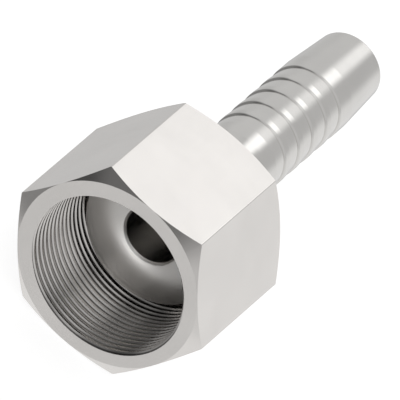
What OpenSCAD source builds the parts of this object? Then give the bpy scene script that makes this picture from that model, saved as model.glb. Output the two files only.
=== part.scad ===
// Hose nipple with a loose union nut.
// The fitting lies on one flat of the nut. The axis of both pieces is the Y axis, the nut's
// mouth face is at Y = 0, and the hose tail points along +Y. All lengths are in millimetres.

/* [Union nut] */
// Width of the nut across its flats
nut_across_flats = 41; // [39:0.5:46]
// Length of the nut from its mouth face to its back face
nut_length = 32.5; // [31:0.5:40]
// Slope of the chamfer that takes off the hexagon's corners, from the end faces
corner_chamfer_angle = 30; // [20:1:40]
// Minor diameter of the internal thread, M36 x 1.5
thread_minor_d = 34.376; // [33:0.001:36]
// Length of the full thread, from the mouth face
thread_length = 17; // [12:0.1:18]
// Width of the run-out groove behind the thread
relief_width = 1.5; // [0.8:0.1:2.5]
// Depth of the run-out groove below the thread's minor diameter
relief_depth = 0.6; // [0.3:0.1:1]
// Slope of the seat inside the nut, from the axis
seat_angle = 45; // [40:1:60]
// Thickness of the back wall, where the nut runs round the neck
back_wall = 3; // [2:0.1:5]
// Edge break at the outer end of the hole in the back wall
back_hole_chamfer = 0.4; // [0.2:0.1:0.8]

/* [Running clearances] */
// Radial gap between the neck and the hole in the nut's back wall
neck_gap = 0.15; // [0.05:0.01:0.3]
// Gap between the head's shoulder and the nut's seat, square to both
seat_gap = 0.15; // [0.05:0.01:0.3]

/* [Sealing head] */
// Diameter of the head
head_d = 30.4; // [28:0.1:33]
// Length of the head's round side, from its face to the shoulder
head_side_length = 7.25; // [4:0.05:8]
// Radius of the crown of its face, in section
crown_radius = 28; // [20:0.5:60]

/* [Bore and neck] */
// Diameter of the through bore
bore_d = 12.1; // [10:0.1:13.5]
// Edge break where the bore opens on the face
nose_chamfer = 0.45; // [0.2:0.05:1]
// Diameter of the neck, which goes on past the nut as the collar
neck_d = 21; // [19:0.1:24]
// Length of the collar behind the nut
collar_length = 7.5; // [4:0.1:12]
// Edge break at the end of the collar
collar_chamfer = 0.6; // [0.2:0.1:1.5]

/* [Hose tail] */
// Diameter of the ferrule groove
groove_d = 15.8; // [14.8:0.1:16.6]
// Width of the ferrule groove
groove_width = 5; // [3:0.1:8]
// Diameter where the tail starts behind the groove
tail_start_d = 16.4; // [16:0.05:17]
// Length of the slope from there up to the plain land
tail_slope_length = 3.45; // [2:0.05:6]
// Diameter of the plain land and of the barbs
land_d = 17.07; // [16.8:0.01:18]
// Length of the plain land
land_length = 3.4; // [2:0.1:8]
// Number of barbs
barb_count = 5; // [3:1:7]
// Distance from one barb to the next
barb_pitch = 5.47; // [4.5:0.01:7]
// Height of a barb's steep face
barb_height = 0.3; // [0.1:0.01:0.4]
// Length that a barb's steep face takes along the axis
barb_face_length = 0.25; // [0.1:0.05:0.5]
// Length of a barb from the foot of its steep face to the end of its flat crest
barb_crest_length = 1.85; // [1:0.05:3]
// Length of the last crest, where the lead-in begins
last_crest_length = 4.75; // [3:0.05:8]
// Length of the lead-in taper
lead_in_length = 13.1; // [8:0.1:20]
// Diameter at the tip
tip_d = 15.27; // [14:0.01:16]
// Edge break at the tip, outside and in the bore
tip_chamfer = 0.3; // [0.1:0.1:0.6]

/* [Hidden] */
$fn = 180;
// What a cutter runs past the face that it cuts
past = 1;

// Nut, in radii and in places along the axis
thread_r = thread_minor_d / 2;
corner_r = nut_across_flats / 2 / cos(30);
corner_chamfer_length = (corner_r - nut_across_flats / 2) * tan(corner_chamfer_angle);
back_hole_r = neck_d / 2 + neck_gap;
relief_r = thread_r + relief_depth;
relief_end = thread_length + relief_width;
seat_end = nut_length - back_wall;
seat_start = seat_end - (thread_r - back_hole_r) / tan(seat_angle);

// Head: its shoulder runs parallel to the seat, and the crown of its face is highest halfway
// between the bore and the side
head_r = head_d / 2;
shoulder_offset = seat_gap / sin(seat_angle);
shoulder_start = seat_start + (thread_r - head_r) / tan(seat_angle) - shoulder_offset;
shoulder_end = seat_end + neck_gap / tan(seat_angle) - shoulder_offset;
rim = shoulder_start - head_side_length;
crown_r = (head_d + bore_d) / 4;
crown_centre = rim + sqrt(pow(crown_radius, 2) - pow(head_r - crown_r, 2));
face_top = crown_centre - crown_radius;
lip_r = bore_d / 2 + nose_chamfer;
lip = crown_centre - sqrt(pow(crown_radius, 2) - pow(crown_r - lip_r, 2));

// Tail, from the collar to the tip
collar_end = nut_length + collar_length;
groove_end = collar_end + groove_width;
land_start = groove_end + tail_slope_length;
land_end = land_start + land_length;
land_r = land_d / 2;
barb_foot_r = land_r - barb_height;
first_barb = land_end + barb_pitch - barb_crest_length;
last_barb = first_barb + (barb_count - 1) * barb_pitch;
lead_in_start = last_barb + last_crest_length;
tip = lead_in_start + lead_in_length;

// Foot, top and crest of each barb; the last crest runs on to the lead-in
function barb_points(place, crest) = [
    [barb_foot_r, place],
    [land_r, place + barb_face_length],
    [land_r, place + crest]
];

function head_points() = [
    [0, face_top],
    [head_r, face_top],
    [head_r, shoulder_start],
    [neck_d / 2, shoulder_end]
];

function collar_points() = [
    [neck_d / 2, collar_end - collar_chamfer],
    [neck_d / 2 - collar_chamfer, collar_end],
    [groove_d / 2, collar_end],
    [groove_d / 2, groove_end],
    [tail_start_d / 2, groove_end],
    [land_r, land_start],
    [land_r, land_end]
];

function tail_points() = [
    for (i = [0:barb_count - 1])
        each barb_points(first_barb + i * barb_pitch,
                         i < barb_count - 1 ? barb_crest_length : last_crest_length)
];

function tip_points() = [
    [tip_d / 2, tip - tip_chamfer],
    [tip_d / 2 - tip_chamfer, tip],
    [0, tip]
];

// Turns the upright axis of a revolved shape to the Y axis
module along_axis() {
    rotate([-90, 0, 0]) children();
}

// Half section of the nipple's outside: a turned outline whose front is cut to the crown
module nipple_section() {
    intersection() {
        polygon(concat(head_points(), collar_points(), tail_points(), tip_points()));
        union() {
            translate([crown_r, crown_centre]) circle(r = crown_radius);
            translate([0, rim]) square([head_r + past, tip]);
        }
    }
}

// Through bore with its edge breaks at the face and at the tip
module nipple_bore() {
    bore_r = bore_d / 2;
    translate([0, 0, face_top - past]) cylinder(r = bore_r, h = tip - face_top + 2 * past);
    translate([0, 0, lip - past])
        cylinder(r1 = lip_r + past, r2 = bore_r, h = nose_chamfer + past);
    translate([0, 0, tip - tip_chamfer])
        cylinder(r1 = bore_r, r2 = bore_r + tip_chamfer + past, h = tip_chamfer + past);
}

// Head, shoulder, collar and barbed tail, turned from one bar
module hose_nipple() {
    color([0.80, 0.80, 0.79])
        along_axis()
            difference() {
                rotate_extrude() nipple_section();
                nipple_bore();
            }
}

// Hexagonal bar with both ends turned down to a circle as wide as the flats
module nut_blank() {
    flat_r = nut_across_flats / 2;
    intersection() {
        cylinder(r = corner_r, h = nut_length, $fn = 6);
        rotate_extrude()
            polygon([
                [0, 0],
                [flat_r, 0],
                [corner_r, corner_chamfer_length],
                [corner_r, nut_length - corner_chamfer_length],
                [flat_r, nut_length],
                [0, nut_length]
            ]);
    }
}

// Half section of the nut's inside: thread, run-out groove, chamber, seat and back hole
module nut_inside_section() {
    polygon([
        [0, -past],
        [thread_r, -past],
        [thread_r, thread_length],
        [relief_r, thread_length],
        [relief_r, relief_end],
        [thread_r, relief_end],
        [thread_r, seat_start],
        [back_hole_r, seat_end],
        [back_hole_r, nut_length - back_hole_chamfer],
        [back_hole_r + back_hole_chamfer + past, nut_length + past],
        [0, nut_length + past]
    ]);
}

// Union nut, which turns freely on the neck and pulls the head onto its seat
module swivel_nut() {
    color([0.86, 0.85, 0.83])
        along_axis()
            difference() {
                nut_blank();
                rotate_extrude() nut_inside_section();
            }
}

hose_nipple();
swivel_nut();
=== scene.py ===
from math import ceil, cos, pi, radians, sin, sqrt, tan

import bmesh
import bpy
from mathutils import Matrix, Vector


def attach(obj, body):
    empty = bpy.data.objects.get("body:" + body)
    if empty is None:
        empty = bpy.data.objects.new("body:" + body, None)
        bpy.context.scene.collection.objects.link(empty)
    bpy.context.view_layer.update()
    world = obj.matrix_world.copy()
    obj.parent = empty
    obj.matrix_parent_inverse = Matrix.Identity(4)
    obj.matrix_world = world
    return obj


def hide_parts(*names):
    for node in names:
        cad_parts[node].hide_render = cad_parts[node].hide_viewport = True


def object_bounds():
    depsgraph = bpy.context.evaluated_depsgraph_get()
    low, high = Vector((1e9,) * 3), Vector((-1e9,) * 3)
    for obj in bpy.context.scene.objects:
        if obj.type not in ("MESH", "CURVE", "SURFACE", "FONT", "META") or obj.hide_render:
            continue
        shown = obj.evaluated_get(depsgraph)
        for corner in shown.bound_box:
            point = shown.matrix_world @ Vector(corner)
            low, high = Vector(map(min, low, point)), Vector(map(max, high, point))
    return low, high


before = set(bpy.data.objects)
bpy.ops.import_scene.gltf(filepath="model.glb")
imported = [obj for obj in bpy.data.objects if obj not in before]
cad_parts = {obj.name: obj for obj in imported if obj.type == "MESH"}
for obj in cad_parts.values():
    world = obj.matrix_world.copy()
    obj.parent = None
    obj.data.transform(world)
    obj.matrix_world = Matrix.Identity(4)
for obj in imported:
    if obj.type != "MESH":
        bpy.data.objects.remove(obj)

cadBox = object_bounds()
mm = 0.001
sameSpot = 0.0005 * mm  # vertices closer than this are one
onPlane = 0.000001 * mm  # and this close to a cutting plane they lie on it
straight = 0.0001  # a corner that turns by less, in radians, stays as it is


# Outlines are lists of (radius, place along the axis) in millimetres

def roundCorner(before, corner, after, radius, maxStep):
    a, b, c = Vector(before), Vector(corner), Vector(after)
    toA, toC = (a - b).normalized(), (c - b).normalized()
    turn = pi - toA.angle(toC)
    if radius <= 0 or turn < straight:
        return [tuple(corner)]
    reach = radius * tan(turn / 2)
    centre = b + (toA + toC).normalized() * radius / cos(turn / 2)
    first = b + toA * reach - centre
    side = 1 if first.x * toA.y - first.y * toA.x < 0 else -1  # which way the arc runs
    steps = max(2, ceil(turn / radians(maxStep)))
    points = []
    for i in range(steps + 1):
        t = side * turn * i / steps
        x = first.x * cos(t) - first.y * sin(t)
        y = first.x * sin(t) + first.y * cos(t)
        points.append((centre.x + x, centre.y + y))
    return points


def roundedLine(corners, closed=True, maxStep=12):
    count = len(corners)
    line = []
    for i, (r, y, radius) in enumerate(corners):
        if not closed and i in (0, count - 1):
            line.append((r, y))
            continue
        before, after = corners[i - 1], corners[(i + 1) % count]
        line += roundCorner(before[:2], (r, y), after[:2], radius, maxStep)
    return line


def ringPoint(radius, place, angle):
    return Vector((radius * cos(angle), place, radius * sin(angle))) * mm


def makePiece(name, bm, sharpAngle=22, faceWeight=80):
    bmesh.ops.remove_doubles(bm, verts=bm.verts, dist=sameSpot)
    bmesh.ops.recalc_face_normals(bm, faces=bm.faces)
    mesh = bpy.data.meshes.new(name)
    bm.to_mesh(mesh)
    bm.free()
    mesh.shade_smooth()
    mesh.set_sharp_from_angle(angle=radians(sharpAngle))
    piece = bpy.data.objects.new(name, mesh)
    bpy.context.scene.collection.objects.link(piece)
    even = piece.modifiers.new("evenNormals", "WEIGHTED_NORMAL")
    even.keep_sharp = True
    even.weight = faceWeight
    return piece


# Hose nipple, one turned piece

nipple = {
    "crownRadius": 28.0, "crownSteps": 28, "rim": 17.488, "rimRound": 0.15,
    "headRadius": 15.2, "shoulderStart": 24.738, "shoulderEnd": 29.438, "shoulderRound": 0.3,
    "boreRadius": 6.05, "lipEdge": 0.45, "lipRound": 0.1,
    "neckRadius": 10.5, "collarEnd": 40.0, "collarRound": 0.6,
    "grooveRadius": 7.9, "grooveEnd": 45.0, "grooveStartRound": 0.5, "grooveEndRound": 0.15,
    "tailStartRadius": 8.2, "tailStartRound": 0.1,
    "landStart": 48.45, "landEnd": 51.85, "landRadius": 8.535,
    "barbs": 5, "firstBarb": 55.47, "barbPitch": 5.47, "barbHeight": 0.3, "barbFace": 0.25,
    "crest": 1.85, "lastCrest": 4.75, "leadIn": 13.1, "tipRadius": 7.635,
    "footRound": 0.06, "crestRound": 0.4, "easeRound": 1.5, "tipRound": 0.25,
    "segments": 256,
}


def nippleOutline():
    n = nipple
    middle = (n["headRadius"] + n["boreRadius"]) / 2
    centre = n["rim"] + sqrt(n["crownRadius"] ** 2 - (n["headRadius"] - middle) ** 2)

    def onCrown(r):
        return centre - sqrt(n["crownRadius"] ** 2 - (r - middle) ** 2)

    lip = n["boreRadius"] + n["lipEdge"]
    corners = [(n["boreRadius"], onCrown(lip) + n["lipEdge"], n["lipRound"])]
    for i in range(n["crownSteps"]):
        r = lip + (n["headRadius"] - lip) * i / n["crownSteps"]
        corners.append((r, onCrown(r), n["lipRound"] if i == 0 else 0))
    corners += [
        (n["headRadius"], n["rim"], n["rimRound"]),
        (n["headRadius"], n["shoulderStart"], n["shoulderRound"]),
        (n["neckRadius"], n["shoulderEnd"], n["shoulderRound"]),
        (n["neckRadius"], n["collarEnd"], n["collarRound"]),
        (n["grooveRadius"], n["collarEnd"], n["grooveStartRound"]),
        (n["grooveRadius"], n["grooveEnd"], n["grooveEndRound"]),
        (n["tailStartRadius"], n["grooveEnd"], n["tailStartRound"]),
        (n["landRadius"], n["landStart"], n["easeRound"]),
        (n["landRadius"], n["landEnd"], n["easeRound"]),
    ]
    for i in range(n["barbs"]):
        foot = n["firstBarb"] + i * n["barbPitch"]
        crest = n["crest"] if i < n["barbs"] - 1 else n["lastCrest"]
        corners += [
            (n["landRadius"] - n["barbHeight"], foot, n["footRound"]),
            (n["landRadius"], foot + n["barbFace"], n["crestRound"]),
            (n["landRadius"], foot + crest, n["easeRound"]),
        ]
    tip = foot + n["lastCrest"] + n["leadIn"]
    corners += [
        (n["tipRadius"], tip, n["tipRound"]),
        (n["boreRadius"], tip, n["tipRound"]),
    ]
    return roundedLine(corners)


def makeNipple():
    bm = bmesh.new()
    outline = nippleOutline()
    segments = nipple["segments"]
    rings = [
        [bm.verts.new(ringPoint(r, y, 2 * pi * i / segments)) for r, y in outline]
        for i in range(segments)
    ]
    for i in range(segments):
        a, b = rings[i - 1], rings[i]
        for k in range(len(outline)):
            bm.faces.new((a[k - 1], a[k], b[k], b[k - 1]))
    return makePiece("hoseNipple", bm)


# Union nut: hexagon, right-hand thread with its run-out, chamber and seat

nut = {
    "acrossFlats": 41.0, "length": 32.5, "chamferAngle": 30,
    "cornerRound": 0.3, "cornerSteps": 3,
    "threadRadius": 17.188, "pitch": 1.5, "grooveDepth": 0.61, "land": 0.62, "flankAngle": 30,
    "landEdgeRound": 0.05, "rootRound": 0.07, "threadPhase": 0.4, "spareTurns": 4,
    "fadeStart": 20.4, "fadeEnd": 21.6,
    "seatStart": 22.962, "seatEnd": 29.5, "seatRound": 0.3,
    "holeRadius": 10.65, "holeChamfer": 0.4,
    "columnStep": 1.5,
}
sixth = radians(60)  # what one flat takes of the circle


def nutAngles():
    flat, steps = nut["acrossFlats"] / 2, nut["cornerSteps"]
    half = nut["cornerRound"] * tan(sixth / 2) / (flat / cos(sixth / 2))
    offsets = [half * k / steps for k in range(-steps, steps + 1)]
    corners = [sixth * i + off for i in range(6) for off in offsets]
    count = round(360 / nut["columnStep"])
    plain = [2 * pi * i / count for i in range(count)]
    clear = [a for a in plain if min(abs(a - c) for c in corners + [2 * pi]) > half]
    return sorted([c % (2 * pi) for c in corners] + clear)


def hexRadius(angle):
    flat, rounding = nut["acrossFlats"] / 2, nut["cornerRound"]
    off = (angle + sixth / 2) % sixth - sixth / 2  # from the nearest corner
    plain = flat / cos(sixth / 2 - abs(off))
    centre = (flat - rounding) / cos(sixth / 2)
    if abs(off) * plain > rounding * tan(sixth / 2):
        return plain
    return centre * cos(off) + sqrt(max(0, rounding ** 2 - (centre * sin(off)) ** 2))


def threadProfile():
    groove = nut["pitch"] - nut["land"]
    root = groove / 2 - nut["grooveDepth"] * tan(radians(nut["flankAngle"]))
    middle = nut["pitch"] / 2
    corners = [
        (0, 0, 0),
        (0, middle - groove / 2, nut["landEdgeRound"]),
        (nut["grooveDepth"], middle - root, nut["rootRound"]),
        (nut["grooveDepth"], middle + root, nut["rootRound"]),
        (0, middle + groove / 2, nut["landEdgeRound"]),
        (0, nut["pitch"], 0),
    ]
    return roundedLine(corners, closed=False, maxStep=20)[:-1]


def fade(place):
    t = (nut["fadeEnd"] - place) / (nut["fadeEnd"] - nut["fadeStart"])
    t = min(1, max(0, t))
    return t * t * (3 - 2 * t)


def addThread(bm, angles):
    profile = threadProfile()
    pitch, end = nut["pitch"], nut["fadeEnd"]
    turns = ceil(end / pitch) + nut["spareTurns"]  # both ends are cut off square below
    count = len(profile)
    columns = []
    for angle in angles:
        shift = nut["threadPhase"] * pitch - pitch * angle / (2 * pi) - pitch
        column = []
        for t in range(turns):
            for depth, y in profile:
                place = shift + t * pitch + y
                radius = nut["threadRadius"] + depth * fade(place)
                column.append(bm.verts.new(ringPoint(radius, place, angle)))
        columns.append(column)
    for i in range(len(angles)):
        last = i == len(angles) - 1
        a, b = columns[i], columns[(i + 1) % len(angles)]
        step = -count if last else 0  # one turn on, the strip has moved by a pitch
        for k in range(len(a) - 1):
            low, high = k + step, k + 1 + step
            if 0 <= low and high < len(b):
                bm.faces.new((a[k], a[k + 1], b[high], b[low]))
    for place, outward in ((0, -1), (end, 1)):
        everything = bm.verts[:] + bm.edges[:] + bm.faces[:]
        bmesh.ops.bisect_plane(
            bm, geom=everything, dist=onPlane, plane_co=(0, place * mm, 0),
            plane_no=(0, outward, 0), clear_outer=True,
        )
    loose = [v for v in bm.verts if not v.link_faces]
    bmesh.ops.delete(bm, geom=loose, context="VERTS")


def makeNut():
    bm = bmesh.new()
    angles = nutAngles()
    addThread(bm, angles)
    flat, length = nut["acrossFlats"] / 2, nut["length"]
    slope = tan(radians(nut["chamferAngle"]))
    hole, chamfer = nut["holeRadius"], nut["holeChamfer"]
    inside = roundedLine([
        (nut["threadRadius"], nut["fadeEnd"], 0),
        (nut["threadRadius"], nut["seatStart"], nut["seatRound"]),
        (hole, nut["seatEnd"], nut["seatRound"]),
        (hole, length - chamfer, 0),
        (hole + chamfer, length, 0),
    ], closed=False)
    columns = []
    for angle in angles:
        corner = hexRadius(angle)
        rise = (corner - flat) * slope
        outside = [(flat, length), (corner, length - rise), (corner, rise), (flat, 0)]
        columns.append([bm.verts.new(ringPoint(r, y, angle)) for r, y in inside + outside])
    for i in range(len(angles)):
        a, b = columns[i - 1], columns[i]
        for k in range(1, len(a)):
            bm.faces.new((a[k - 1], a[k], b[k], b[k - 1]))
    bmesh.ops.remove_doubles(bm, verts=bm.verts, dist=sameSpot)
    # the thread's cut edges don't match the rings next to them, so the gaps are filled
    for place in (0, nut["fadeEnd"]):
        there = {v for v in bm.verts if abs(v.co.y - place * mm) < 2 * sameSpot}
        openEdges = [e for e in bm.edges if len(e.link_faces) == 1 and there.issuperset(e.verts)]
        bmesh.ops.triangle_fill(bm, edges=openEdges, use_beauty=True, normal=(0, 1, 0))
    return makePiece("unionNut", bm)


# Node helpers

def link(tree, *pairs):
    for source, target in pairs:
        tree.links.new(source, target)


def addNode(tree, kind, **values):
    node = tree.nodes.new("ShaderNode" + kind)
    for name, value in values.items():
        setattr(node, name, value)
    return node


def doMath(tree, operation, a, b=None):
    node = addNode(tree, "Math", operation=operation)
    for socket, value in zip(node.inputs, (a, b)):
        if isinstance(value, bpy.types.NodeSocket):
            tree.links.new(value, socket)
        elif value is not None:
            socket.default_value = value
    return node.outputs[0]


def addShare(tree, base, mask, amount):
    return doMath(tree, "ADD", base, doMath(tree, "MULTIPLY", mask, amount))


def remap(tree, value, low, high, toLow, toHigh, smooth=False):
    node = addNode(tree, "MapRange", interpolation_type="SMOOTHSTEP" if smooth else "LINEAR")
    ends = {"From Min": low, "From Max": high, "To Min": toLow, "To Max": toHigh}
    for name, end in ends.items():
        node.inputs[name].default_value = end
    link(tree, (value, node.inputs["Value"]))
    return node.outputs["Result"]


def noise(tree, place, perMetre, detail, dimensions="3D"):
    node = addNode(tree, "TexNoise", noise_dimensions=dimensions)
    node.inputs["Scale"].default_value = perMetre
    node.inputs["Detail"].default_value = detail
    link(tree, (place, node.inputs["W" if dimensions == "1D" else "Vector"]))
    return node.outputs[0]


# Turned and drawn steel

steel = {
    "nipple": {
        "colour": (0.757, 0.743, 0.722), "roughness": 0.13,
        "boreRadius": 6.1, "boreRoughness": 0.08, "faceEnd": 17.8, "faceRoughness": 0.14,
    },
    "nut": {
        "colour": (0.802, 0.777, 0.753), "roughness": 0.14,
        "insideRadius": 18.0, "wornRadius": 23.15, "cornerRadius": 23.6,
        # these thread and root settings place the painted shade in the thread's grooves
        "threadMiddle": 11.0, "threadHalf": 10.95, "threadOutside": 18.57,
        "rootRadius": 17.43, "rootDepth": 0.14, "rootPaintedShade": 0.72,
    },
    # lines and patches count per metre, and the depth is in metres
    "marks": {
        "fineLines": 3200, "wideLines": 420, "alongRadius": 0.7,
        "drawnLines": 2600, "drawnStretch": 0.02, "endFacing": 0.3,
        "patches": 60, "tintPatches": 90, "noiseEnds": (0.3, 0.7),
        "depth": 0.0000009, "roughnessSpread": 0.05, "tintSpread": 0.05,
        "wearRoughness": 0.10,
    },
}


def steelMaterial(name, settings):
    marks = steel["marks"]
    material = bpy.data.materials.new(name)
    material.use_nodes = True
    tree = material.node_tree
    shader = tree.nodes["Principled BSDF"]
    shader.inputs["Metallic"].default_value = 1

    coords = addNode(tree, "TexCoord")
    place = coords.outputs["Object"]
    axes = addNode(tree, "SeparateXYZ")
    across = addNode(tree, "CombineXYZ")
    length = addNode(tree, "VectorMath", operation="LENGTH")
    link(
        tree, (place, axes.inputs[0]), (axes.outputs["X"], across.inputs["X"]),
        (axes.outputs["Z"], across.inputs["Z"]), (across.outputs[0], length.inputs[0]),
    )
    radius = length.outputs["Value"]

    # tool marks run round the axis, so they follow the radius and the place along it
    along = addShare(tree, axes.outputs["Y"], radius, marks["alongRadius"])
    fine = noise(tree, along, marks["fineLines"], detail=3, dimensions="1D")
    wide = noise(tree, along, marks["wideLines"], detail=2, dimensions="1D")
    lines = fine
    if "insideRadius" in settings:
        # the flats keep the lines of the drawn bar, along the axis
        stretch = addNode(tree, "VectorMath", operation="MULTIPLY")
        stretch.inputs[1].default_value = (1, marks["drawnStretch"], 1)
        normal = addNode(tree, "SeparateXYZ")
        link(tree, (place, stretch.inputs[0]), (coords.outputs["Normal"], normal.inputs[0]))
        facing = doMath(tree, "ABSOLUTE", normal.outputs["Y"])
        turned = doMath(
            tree, "MAXIMUM", doMath(tree, "GREATER_THAN", facing, marks["endFacing"]),
            doMath(tree, "LESS_THAN", radius, settings["insideRadius"] * mm),
        )
        drawn = noise(tree, stretch.outputs[0], marks["drawnLines"], detail=3)
        pick = addNode(tree, "Mix", data_type="FLOAT")
        link(tree, (turned, pick.inputs[0]), (drawn, pick.inputs[2]), (fine, pick.inputs[3]))
        lines = pick.outputs[0]

    patches = noise(tree, place, marks["patches"], detail=4)
    tint = noise(tree, place, marks["tintPatches"], detail=3)
    ends, spread, plain = marks["noiseEnds"], marks["roughnessSpread"], settings["roughness"]
    rough = remap(tree, patches, *ends, plain, plain + spread)
    rough = doMath(tree, "ADD", rough, remap(tree, lines, *ends, 0, spread / 2))
    rough = doMath(tree, "ADD", rough, remap(tree, wide, *ends, 0, spread / 3))
    shade = remap(tree, tint, *ends, 1 - marks["tintSpread"], 1)
    if "faceEnd" in settings:
        # the bore is drilled, and the head has a matt sealing face
        bore = doMath(tree, "LESS_THAN", radius, settings["boreRadius"] * mm)
        face = doMath(tree, "LESS_THAN", axes.outputs["Y"], settings["faceEnd"] * mm)
        rough = addShare(tree, rough, bore, settings["boreRoughness"])
        rough = addShare(tree, rough, face, settings["faceRoughness"])
    if "wornRadius" in settings:
        # the hexagon's corners are rubbed by spanners
        worn, corner = settings["wornRadius"] * mm, settings["cornerRadius"] * mm
        wear = remap(tree, radius, worn, corner, 0, 1, smooth=True)
        wear = doMath(tree, "MULTIPLY", wear, patches)
        rough = addShare(tree, rough, wear, marks["wearRoughness"])
        shade = addShare(tree, shade, wear, marks["tintSpread"])
        # painted shade: the roots of the thread are darker than its crests, standing in for the
        # shade deep in its grooves
        top = settings["rootRadius"] * mm
        bottom = top + settings["rootDepth"] * mm
        offset = doMath(tree, "SUBTRACT", axes.outputs["Y"], settings["threadMiddle"] * mm)
        offset = doMath(tree, "ABSOLUTE", offset)
        thread = doMath(
            tree, "MULTIPLY", doMath(tree, "LESS_THAN", radius, settings["threadOutside"] * mm),
            doMath(tree, "LESS_THAN", offset, settings["threadHalf"] * mm),
        )
        root = remap(tree, radius, top, bottom, 0, settings["rootPaintedShade"], smooth=True)
        shade = doMath(tree, "SUBTRACT", shade, doMath(tree, "MULTIPLY", thread, root))
    colour = addNode(tree, "VectorMath", operation="SCALE")
    colour.inputs[0].default_value = settings["colour"]
    link(
        tree, (shade, colour.inputs["Scale"]),
        (colour.outputs[0], shader.inputs["Base Color"]), (rough, shader.inputs["Roughness"]),
    )

    bump = addNode(tree, "Bump")
    bump.inputs["Strength"].default_value = 1
    bump.inputs["Distance"].default_value = marks["depth"]
    link(tree, (lines, bump.inputs["Height"]), (bump.outputs[0], shader.inputs["Normal"]))
    return material


# Studio: an even pale room with darker and lighter sides, a bright panel, a softbox and a floor

studio = {
    "background": 1.0, "level": 0.62, "darkest": 0.07,
    # direction, half angles in degrees where the change is full and where it ends, and the change
    "zones": [
        ((-0.32, -0.93, 0.20), 27, 49, -0.46),  # front
        ((-0.97, -0.05, -0.20), 33, 54, -0.36),  # left
        ((0.45, 0.10, -0.88), 58, 76, 0.24),  # all of the lower right
        ((-0.15, -0.76, -0.65), 15, 38, -0.17),  # front, far down
        ((0.52, 0.75, 0.41), 8, 26, -0.06),  # back right, up
        ((-0.09, -0.90, -0.42), 3, 10, 2.2),  # front, down: a small bright lamp
        ((-0.10, 0.75, -0.65), 8, 24, -0.24),  # back, down
        ((-0.08, -0.72, 0.69), 15, 25, 0.34),  # front, up
        ((-0.50, 0.75, 0.43), 12, 26, 0.045),  # back left, up
        ((0.72, -0.62, -0.32), 10, 21, -0.16),  # front right, down
    ],
    # a long panel over the tail: three directions, and how far along each it begins, is full,
    # is full no more and ends; it has no end upwards, since no direction reaches 2
    "panel": {
        "gain": 0.86,
        "bands": [
            ((-0.996, 0, 0.087), -0.32, -0.08, 0.08, 0.32),
            ((0, 1, 0), 0.45, 0.55, 0.825, 0.865),
            ((0.087, 0, 0.996), 0, 0.1, 2, 3),
        ],
    },
    "softbox": {
        "direction": (0.16, -0.50, 0.85), "distance": 0.6, "size": (0.22, 0.22),
        "radiance": 0.6,
    },
    "floor": {"size": 3.0, "gap": 0.02, "colour": 0.45, "glow": 0.80},
}


def alongDirection(tree, direction, toward):
    dot = addNode(tree, "VectorMath", operation="DOT_PRODUCT")
    dot.inputs[1].default_value = Vector(toward).normalized()
    link(tree, (direction, dot.inputs[0]))
    return dot.outputs["Value"]


def makeWorld():
    world = bpy.data.worlds.new("studioWorld")
    bpy.context.scene.world = world
    world.use_nodes = True
    tree = world.node_tree
    background = tree.nodes["Background"]
    direction = addNode(tree, "TexCoord").outputs["Generated"]
    level = studio["level"]
    for toward, full, edge, change in studio["zones"]:
        along = alongDirection(tree, direction, toward)
        inner, outer = cos(radians(full)), cos(radians(edge))
        zone = remap(tree, along, outer, inner, 0, change, smooth=True)
        level = doMath(tree, "ADD", zone, level)
    level = doMath(tree, "MAXIMUM", level, studio["darkest"])
    panel = studio["panel"]["gain"]
    for toward, start, full, fullEnd, end in studio["panel"]["bands"]:
        along = alongDirection(tree, direction, toward)
        rise = remap(tree, along, start, full, 0, 1, smooth=True)
        fall = remap(tree, along, fullEnd, end, 1, 0, smooth=True)
        panel = doMath(tree, "MULTIPLY", fall, doMath(tree, "MULTIPLY", rise, panel))
    level = doMath(tree, "ADD", panel, level)
    rays = addNode(tree, "LightPath").outputs
    seen = doMath(tree, "MAXIMUM", rays["Is Camera Ray"], rays["Is Transmission Ray"])
    mix = addNode(tree, "Mix", data_type="FLOAT")
    link(tree, (seen, mix.inputs[0]), (level, mix.inputs[2]))
    mix.inputs[3].default_value = studio["background"]
    link(tree, (mix.outputs[0], background.inputs["Strength"]))
    background.inputs["Color"].default_value = (1, 1, 1, 1)


def makeFloor():
    settings = studio["floor"]
    bottom = cadBox[0].z - settings["gap"] * mm
    half = settings["size"] / 2
    corners = [(x * half, y * half, bottom) for x, y in ((-1, -1), (1, -1), (1, 1), (-1, 1))]
    mesh = bpy.data.meshes.new("floor")
    mesh.from_pydata(corners, [], [(0, 1, 2, 3)])
    floor = bpy.data.objects.new("floor", mesh)
    bpy.context.scene.collection.objects.link(floor)
    floor.visible_glossy = False  # the steel shows the bright studio all round instead
    material = bpy.data.materials.new("paleFloor")
    material.use_nodes = True
    tree = material.node_tree
    tree.nodes.clear()
    paper = addNode(tree, "BsdfDiffuse")
    paper.inputs["Color"].default_value = (settings["colour"],) * 3 + (1,)
    glow = addNode(tree, "Emission")
    rays = addNode(tree, "LightPath").outputs
    both = addNode(tree, "AddShader")
    output = addNode(tree, "OutputMaterial")
    strength = doMath(tree, "MULTIPLY", rays["Is Camera Ray"], settings["glow"])
    link(
        tree, (strength, glow.inputs["Strength"]), (paper.outputs[0], both.inputs[0]),
        (glow.outputs[0], both.inputs[1]), (both.outputs[0], output.inputs["Surface"]),
    )
    mesh.materials.append(material)


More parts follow.
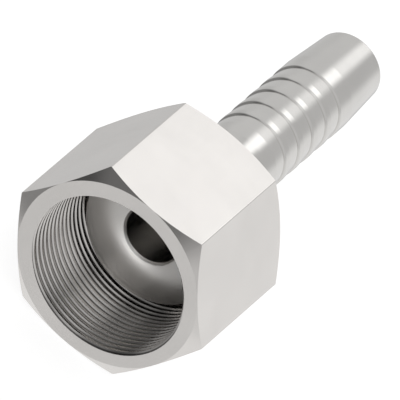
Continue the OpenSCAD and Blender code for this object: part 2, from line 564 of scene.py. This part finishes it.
def makeSoftbox():
    settings = studio["softbox"]
    width, height = settings["size"]
    data = bpy.data.lights.new("softbox", "AREA")
    data.shape = "RECTANGLE"
    data.size, data.size_y = width, height
    data.energy = settings["radiance"] * pi * width * height  # an even panel's power in watts
    lamp = bpy.data.objects.new("softbox", data)
    bpy.context.scene.collection.objects.link(lamp)
    toward = Vector(settings["direction"]).normalized()
    aim = (cadBox[0] + cadBox[1]) / 2
    lamp.location = aim + toward * settings["distance"]
    lamp.rotation_euler = (-toward).to_track_quat("-Z", "Y").to_euler()
    lamp.visible_camera = False


# Camera, far off with a long lens; the aim is in millimetres

camera = {
    "lens": 1600, "sensor": 36, "distance": 3.4929, "clip": (0.1, 20),
    "azimuth": 9.527, "elevation": 40.757, "roll": 34.676,
    "aim": (3.978, 16.490, 16.160),
}


def makeCamera():
    data = bpy.data.cameras.new("camera")
    data.lens, data.sensor_width = camera["lens"], camera["sensor"]
    data.clip_start, data.clip_end = camera["clip"]
    view = bpy.data.objects.new("camera", data)
    bpy.context.scene.collection.objects.link(view)
    bpy.context.scene.camera = view
    azimuth, elevation = radians(camera["azimuth"]), radians(camera["elevation"])
    back = Vector((sin(azimuth) * cos(elevation), -cos(azimuth) * cos(elevation), sin(elevation)))
    right = Vector((cos(azimuth), sin(azimuth), 0))
    up = back.cross(right)
    roll = radians(camera["roll"])
    turnedRight = right * cos(roll) + up * sin(roll)
    turnedUp = up * cos(roll) - right * sin(roll)
    axes = Matrix((turnedRight, turnedUp, back)).transposed().to_4x4()
    place = Vector(camera["aim"]) * mm + back * camera["distance"]
    view.matrix_world = Matrix.Translation(place) @ axes


makeCamera()
print("camera ready")

hoseNipple = makeNipple()
hoseNipple.data.materials.append(steelMaterial("turnedNippleSteel", steel["nipple"]))
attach(hoseNipple, "nipple")
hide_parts("hose_nipple")
print("hose nipple:", len(hoseNipple.data.polygons), "faces")

unionNut = makeNut()
unionNut.data.materials.append(steelMaterial("nutSteel", steel["nut"]))
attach(unionNut, "nut")
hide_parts("swivel_nut")
print("union nut:", len(unionNut.data.polygons), "faces")

makeFloor()
makeSoftbox()
makeWorld()
bpy.context.scene.view_settings.view_transform = "Standard"
print("studio ready")
